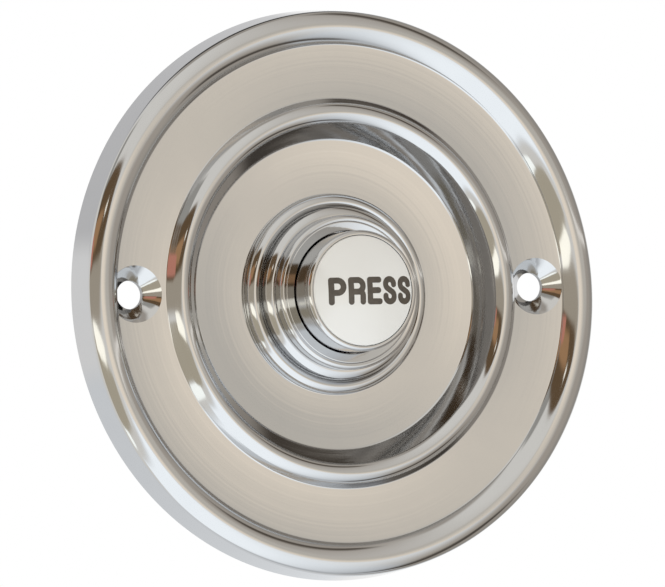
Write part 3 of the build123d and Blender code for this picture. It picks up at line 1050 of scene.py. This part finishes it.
def drill(kind, place):
    """Tool for a screw's hole through the contact base."""
    radius = SCREW_SIZES[kind][0] + SCREW_CLEARANCE
    outline = rod(radius, BASE_BACK - OVERSHOOT, POST_SEAT + OVERSHOOT)
    return turned("drill", outline, place, SMALL_STEPS)


def contact_strip(name, side, top):
    """Strip bent up from its terminal to a flat stretch under the tip, with round corners and a screw hole."""
    tab_end = -TERMINAL_OFFSET - STRIP_TAB
    bend = -TERMINAL_OFFSET + STRIP_TAB
    underside = top - STRIP_THICKNESS
    corners = [(tab_end, BASE_FRONT), (bend, BASE_FRONT), (bend + STRIP_RUN, underside), (STRIP_OVERLAP, underside)]
    path = stations(rounded(corners, (STRIP_BEND, STRIP_BEND)))
    bm = bmesh.new()
    rings = []
    for (x, height), lean in path:
        inward = min(x - tab_end, STRIP_OVERLAP - x)
        half = STRIP_WIDTH / 2
        if inward < STRIP_CORNER:
            half -= STRIP_CORNER - math.sqrt(STRIP_CORNER ** 2 - (STRIP_CORNER - inward) ** 2)
        edge = STRIP_EDGE
        section = []
        for up, inset in ((0, edge), (edge, 0), (STRIP_THICKNESS - edge, 0), (STRIP_THICKNESS, edge)):
            section.append((half - inset, up))
        section += [(-across, up) for across, up in section[::-1]]
        rings.append([
            bm.verts.new(at(-side * (x - math.sin(lean) * up), across, height + math.cos(lean) * up))
            for across, up in section
        ])
    strip = skinned(name, bm, rings)
    radius = SCREW_SIZES["terminal"][0] + SCREW_CLEARANCE
    hole = rod(radius, BASE_FRONT - OVERSHOOT, BASE_FRONT + OVERSHOOT)
    carved(strip, [turned("hole", hole, (side * TERMINAL_OFFSET, 0), SMALL_STEPS)], "DIFFERENCE")
    return sharpened(strip)


def stations(path):
    """Places along a strip's underside with its lean there, close together where it bends or its end is round."""
    places = [path[0]]
    for start, end in zip(path, path[1:]):
        count = math.ceil(math.dist(start, end) / STATION_STEP)
        places += [tuple(Vector(start).lerp(Vector(end), (k + 1) / count)) for k in range(count)]
    leans = []
    for k in range(len(places)):
        before, after = places[max(k - 1, 0)], places[min(k + 1, len(places) - 1)]
        leans.append(math.atan2(after[1] - before[1], after[0] - before[0]))
    return list(zip(places, leans))


# Studio

def aim(azimuth, elevation):
    """Unit direction: azimuth 0 is straight out from the face, positive to the right."""
    a, e = math.radians(azimuth), math.radians(elevation)
    return Vector((math.sin(a) * math.cos(e), -math.cos(a) * math.cos(e), math.sin(e)))


# Soft cards of the studio, each over those before it: colour, then corners as azimuth and elevation with the
# softness of the edge that follows
CARDS = {
    "right side": ((0.54, 0.49, 0.43), ((27, -89, 0.42), (27, 89, 0.4), (125, 89, 0.3), (125, -89, 0.4))),
    "far right": ((0.44, 0.41, 0.37), ((74, -70, 0.2), (74, 70, 0.2), (128, 60, 0.2), (128, -60, 0.2))),
    "upper left shade": ((0.45, 0.44, 0.41), ((-96, 30, 0.06), (-53, 30, 0.06), (-57, 54, 0.06), (-96, 54, 0.06))),
    "ceiling": ((0.5, 0.46, 0.41), ((20, 66, 0.12), (110, 62, 0.12), (-160, 62, 0.12), (-70, 66, 0.12))),
    "back above": ((0.74, 0.74, 0.75), ((125, 4, 0.2), (-125, 4, 0.1), (-125, 50, 0.1), (125, 50, 0.1))),
    "back below": ((0.92, 0.95, 0.98), ((125, 4, 0.1), (-125, 4, 0.1), (-125, -70, 0.1), (125, -70, 0.1))),
    "high back": (
        (0.08, 0.075, 0.07),
        ((130, 34, 0.05), (175, 37, 0.05), (-152, 41, 0.15), (-158, 75, 0.1), (128, 70, 0.1)),
    ),
    "pale patch": ((0.74, 0.7, 0.63), ((8, -2, 0.1), (10, 13, 0.08), (54, 17, 0.1), (52, 1, 0.06))),
    "cream": ((1.22, 1.09, 0.92), ((5, -4, 0.05), (6, 9, 0.06), (15, 12, 0.1), (35, -5, 0.03))),
    "low sheet": (
        (0.7, 0.73, 0.76),
        (
            (28, -5, 0.05), (70, -48, 0.08), (104, -52, 0.08), (130, -72, 0.1),
            (-120, -62, 0.1), (-67, -46, 0.04), (8, -5, 0.05),
        ),
    ),
    "bright sheet": (
        (1.44, 1.52, 1.58),
        ((30, -5, 0.3), (30, -80, 0.1), (-120, -62, 0.1), (-67, -46, 0.04), (8, -5, 0.05)),
    ),
    "left tan": ((0.52, 0.46, 0.37), ((4, 4, 0.05), (2, 10, 0.05), (-90, 10, 0.05), (-90, -4, 0.05), (-12, -2, 0.05))),
    "tan panel": (
        (0.6, 0.54, 0.42),
        ((-2, -6, 0.02), (-10, -16, 0.02), (-66, -36, 0.02), (-84, -34, 0.02), (-80, -8, 0.02)),
    ),
    "left window": (
        (1.75, 1.7, 1.5),
        ((-8, -3.5, 0.012), (-20, -9, 0.015), (-66, -12, 0.015), (-70, -4, 0.015), (-40, -2.5, 0.012)),
    ),
    "low window": ((1.6, 1.66, 1.6), ((-42, -31, 0.012), (-45, -36, 0.012), (-82, -44, 0.012), (-82, -36, 0.012))),
    "dark flag": (
        (0.17, 0.11, 0.06),
        ((4, 9, 0.015), (-10, 8, 0.02), (-82, 9, 0.03), (-82, 34, 0.03), (-22, 29.5, 0.02), (-4, 19, 0.02)),
    ),
    "flag glow": (
        (0.5, 0.29, 0.15),
        ((-20, 18, 0.03), (-34, 13, 0.03), (-80, 14, 0.03), (-80, 24, 0.03), (-45, 24, 0.03)),
    ),
    "flag red": ((0.7, 0.3, 0.22), ((-58, 11, 0.02), (-84, 11, 0.02), (-84, 21, 0.02), (-62, 19, 0.02))),
    "flag lamp": ((1.5, 1.42, 1.25), ((-13, 15.5, 0.01), (-19, 16.5, 0.01), (-20, 19, 0.01), (-14, 18, 0.01))),
    "right window": ((1.5, 1.5, 1.55), ((114, -14, 0.04), (116, 14, 0.04), (128, 10, 0.04), (128, -10, 0.04))),
    "shelf edge": ((1.25, 1.2, 1.12), ((38, 5, 0.01), (38, 6.2, 0.01), (78, 8.4, 0.01), (78, 7.2, 0.01))),
    "upright below": ((0.11, 0.095, 0.08), ((53, -22, 0.08), (53, -62, 0.06), (67, -62, 0.06), (67, -22, 0.08))),
    "upright above": ((0.12, 0.1, 0.08), ((48, 26, 0.08), (47, 60, 0.06), (63, 60, 0.06), (61, 26, 0.08))),
}
SURROUND = (0.97, 0.95, 0.9)
BACKDROP = (1.0, 1.0, 1.0)

# Where mirrors see the backdrop, as the edge and softness of a band about the level and of the side behind
BACKDROP_BAND = (0.24, 0.06)
BACKDROP_SIDE = (-0.3, 0.15)

# Lamp and floor, in metres, watts and degrees
LAMP_SIZE = 0.8
LAMP_POWER = 6.0
LAMP_PLACE = (20, -20)
LAMP_DISTANCE = 1.2
FLOOR_HEIGHT = -0.3
FLOOR_HALF = 3.0
FLOOR_MOTTLE = 4.0
FLOOR_SHADES = ((0.86, 0.86, 0.85), (0.9, 0.9, 0.89))


def maths(tree, operation, *given):
    """Result of a maths node."""
    made = node(tree, "ShaderNodeMath", operation=operation)
    for socket, value in zip(made.inputs, given):
        value_of(tree, socket, value)
    return made.outputs["Value"]


def along(tree, vector, axis):
    """How far a vector reaches along an axis."""
    made = node(tree, "ShaderNodeVectorMath", operation="DOT_PRODUCT")
    tree.links.new(vector, made.inputs[0])
    made.inputs[1].default_value = axis
    return made.outputs["Value"]


def fading(tree, value, edge, softness):
    """One inside the edge and nought outside it, with a soft step between."""
    made = node(tree, "ShaderNodeMapRange", interpolation_type="SMOOTHSTEP")
    for name, given in {
        "From Min": edge - softness, "From Max": edge + softness, "To Min": 1.0, "To Max": 0.0
    }.items():
        made.inputs[name].default_value = given
    tree.links.new(value, made.inputs["Value"])
    return made.outputs["Result"]


def card_over(tree, direction, under, card):
    """Lays one soft-edged card of the studio over the colour under it."""
    colour, corners = card
    points = [aim(azimuth, elevation) for azimuth, elevation, _ in corners]
    middle = sum(points, Vector())
    inside = 1.0
    for start, end, (_, _, softness) in zip(points, points[1:] + points[:1], corners):
        outward = start.cross(end).normalized()
        if outward.dot(middle) > 0:
            outward.negate()
        edge = fading(tree, along(tree, direction, outward), 0.0, softness)
        inside = maths(tree, "MULTIPLY", inside, edge)
    return mixed(tree, inside, under, (*colour, 1))


def studio_world():
    """Soft surround for the mirrors, with a white backdrop behind the object."""
    world = bpy.data.worlds.new("studio")
    bpy.context.scene.world = world
    world.use_nodes = True
    tree = world.node_tree
    tree.nodes.clear()
    direction = node(tree, "ShaderNodeTexCoord").outputs["Generated"]
    colour = (*SURROUND, 1)
    for card in CARDS.values():
        colour = card_over(tree, direction, colour, card)
    level = fading(tree, maths(tree, "ABSOLUTE", along(tree, direction, (0, 0, 1))), *BACKDROP_BAND)
    away = fading(tree, along(tree, direction, (0, -1, 0)), *BACKDROP_SIDE)
    behind = maths(tree, "MULTIPLY", level, away)
    surround = node(tree, "ShaderNodeBackground")
    tree.links.new(colour, surround.inputs["Color"])
    backdrop = node(tree, "ShaderNodeBackground")
    backdrop.inputs["Color"].default_value = (*BACKDROP, 1)
    path = node(tree, "ShaderNodeLightPath")
    seen = maths(tree, "MAXIMUM", path.outputs["Is Camera Ray"], path.outputs["Is Transmission Ray"])
    mirrored = maths(tree, "MULTIPLY", path.outputs["Is Glossy Ray"], behind)
    mix = node(tree, "ShaderNodeMixShader")
    tree.links.new(maths(tree, "MAXIMUM", seen, mirrored), mix.inputs["Fac"])
    tree.links.new(surround.outputs[0], mix.inputs[1])
    tree.links.new(backdrop.outputs[0], mix.inputs[2])
    output = node(tree, "ShaderNodeOutputWorld")
    tree.links.new(mix.outputs[0], output.inputs["Surface"])


def lamp():
    """Large soft lamp in front, which the mirrors look past."""
    data = bpy.data.lights.new("soft lamp", "AREA")
    data.size = LAMP_SIZE
    data.energy = LAMP_POWER
    made = bpy.data.objects.new("soft lamp", data)
    bpy.context.scene.collection.objects.link(made)
    way = aim(*LAMP_PLACE)
    made.location = way * LAMP_DISTANCE
    made.rotation_euler = way.to_track_quat("Z", "Y").to_euler()
    made.visible_glossy = False


def floor():
    """Pale floor under the object, which the mirrors look past."""
    bm = bmesh.new()
    bmesh.ops.create_grid(bm, x_segments=1, y_segments=1, size=FLOOR_HALF)
    made = mesh_object("floor", bm)
    made.location.z = FLOOR_HEIGHT
    paint, tree, shader = material("pale_floor", Roughness=0.8)
    shaded(tree, shader, noise(tree, FLOOR_MOTTLE), *FLOOR_SHADES)
    made.data.materials.append(paint)
    made.visible_glossy = False
    made.visible_diffuse = False


def camera():
    """Camera at the photograph's angle, with a long lens."""
    back = aim(VIEW_AZIMUTH, VIEW_ELEVATION)
    level = Vector((0, 0, 1)).cross(back).normalized()
    upright = back.cross(level)
    roll = math.radians(VIEW_ROLL)
    right = level * math.cos(roll) - upright * math.sin(roll)
    up = upright * math.cos(roll) + level * math.sin(roll)
    data = bpy.data.cameras.new("camera")
    data.sensor_width = SENSOR_WIDTH
    data.lens = SENSOR_WIDTH * VIEW_DISTANCE / (IMAGE_WIDTH / PIXELS_PER_MM * MM)
    made = bpy.data.objects.new("camera", data)
    bpy.context.scene.collection.objects.link(made)
    shift_right = ((IMAGE_WIDTH - 1) / 2 - AXIS_PIXEL[0]) / PIXELS_PER_MM * MM
    shift_up = (AXIS_PIXEL[1] - (IMAGE_HEIGHT - 1) / 2) / PIXELS_PER_MM * MM
    place = back * VIEW_DISTANCE + right * shift_right + up * shift_up
    made.matrix_world = Matrix.Translation(place) @ Matrix((right, up, back)).transposed().to_4x4()
    bpy.context.scene.camera = made


def dress(piece, cad_node, finish):
    """Gives a piece its finish and lets it stand for its node."""
    if finish:
        piece.data.materials.clear()
        piece.data.materials.append(finish)
    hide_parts(cad_node)


chrome = polished_chrome()
brass = metal("turned_brass", (0.72, 0.53, 0.25), (0.82, 0.65, 0.35), 0.18, 0.32, 0.00001)
bronze = metal("rolled_bronze", (0.64, 0.39, 0.21), (0.76, 0.51, 0.31), 0.2, 0.36, 0.00001)
steel = metal("plain_steel", (0.47, 0.47, 0.48), (0.58, 0.58, 0.6), 0.22, 0.38, 0.00001)
ink = fired_ink()
static = {
    "face_plate": (face_plate(chrome, cast_back()), None, "chrome"),
    "push_bezel": (push_bezel(), chrome, "chrome"),
    "bezel_washer": (bezel_washer(), steel, "spring_steel"),
    "bezel_nut": (bezel_nut(), brass, "brass"),
    "contact_base": (
        contact_base(),
        moulding("dark_phenolic", (0.018, 0.012, 0.01), (0.06, 0.042, 0.034), 0.22, 0.4, 0.000008),
        "dark_moulding",
    ),
    "fixed_contact": (contact_strip("fixed_contact_rolled", SIDES["right"], FIXED_TOP), bronze, "bronze"),
}
for kind, places in (("terminal", SIDES), ("base", ENDS)):
    bore = SCREW_SIZES[kind][0] + SCREW_CLEARANCE
    for where in places:
        static[f"{kind}_screw_{where}"] = (slotted_screw(kind, where), brass, "brass")
        washer_node = f"{kind}_washer_{where}"
        static[washer_node] = (washer(f"{washer_node}_plain", washer_node, bore), brass, "brass")
for where in SIDES:
    static[f"terminal_nut_{where}"] = (hexagon_nut(where), brass, "brass")
for cad_node, (piece, finish, slot) in static.items():
    dress(piece, cad_node, finish)
    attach(piece, "plate")

moving = {
    "button_barrel": (button_barrel(), chrome, "chrome"),
    "china_insert": (china_insert(), glazed_china(), "china"),
    "plunger_tip": (
        plunger_tip(),
        moulding("white_nylon", (0.74, 0.72, 0.66), (0.84, 0.82, 0.77), 0.38, 0.52, 0.000006),
        "white_moulding",
    ),
}
for cad_node, (piece, finish, slot) in moving.items():
    dress(piece, cad_node, finish)
    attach(piece, "button")
word = legend()
word.data.materials.clear()
word.data.materials.append(ink)
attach(word, "button")

leaf = contact_strip("contact_leaf_rolled", SIDES["left"], LEAF_TOP)
dress(leaf, "contact_leaf", bronze)
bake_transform(leaf)

floor()
lamp()
studio_world()
camera()
bpy.context.scene.view_settings.view_transform = "Standard"
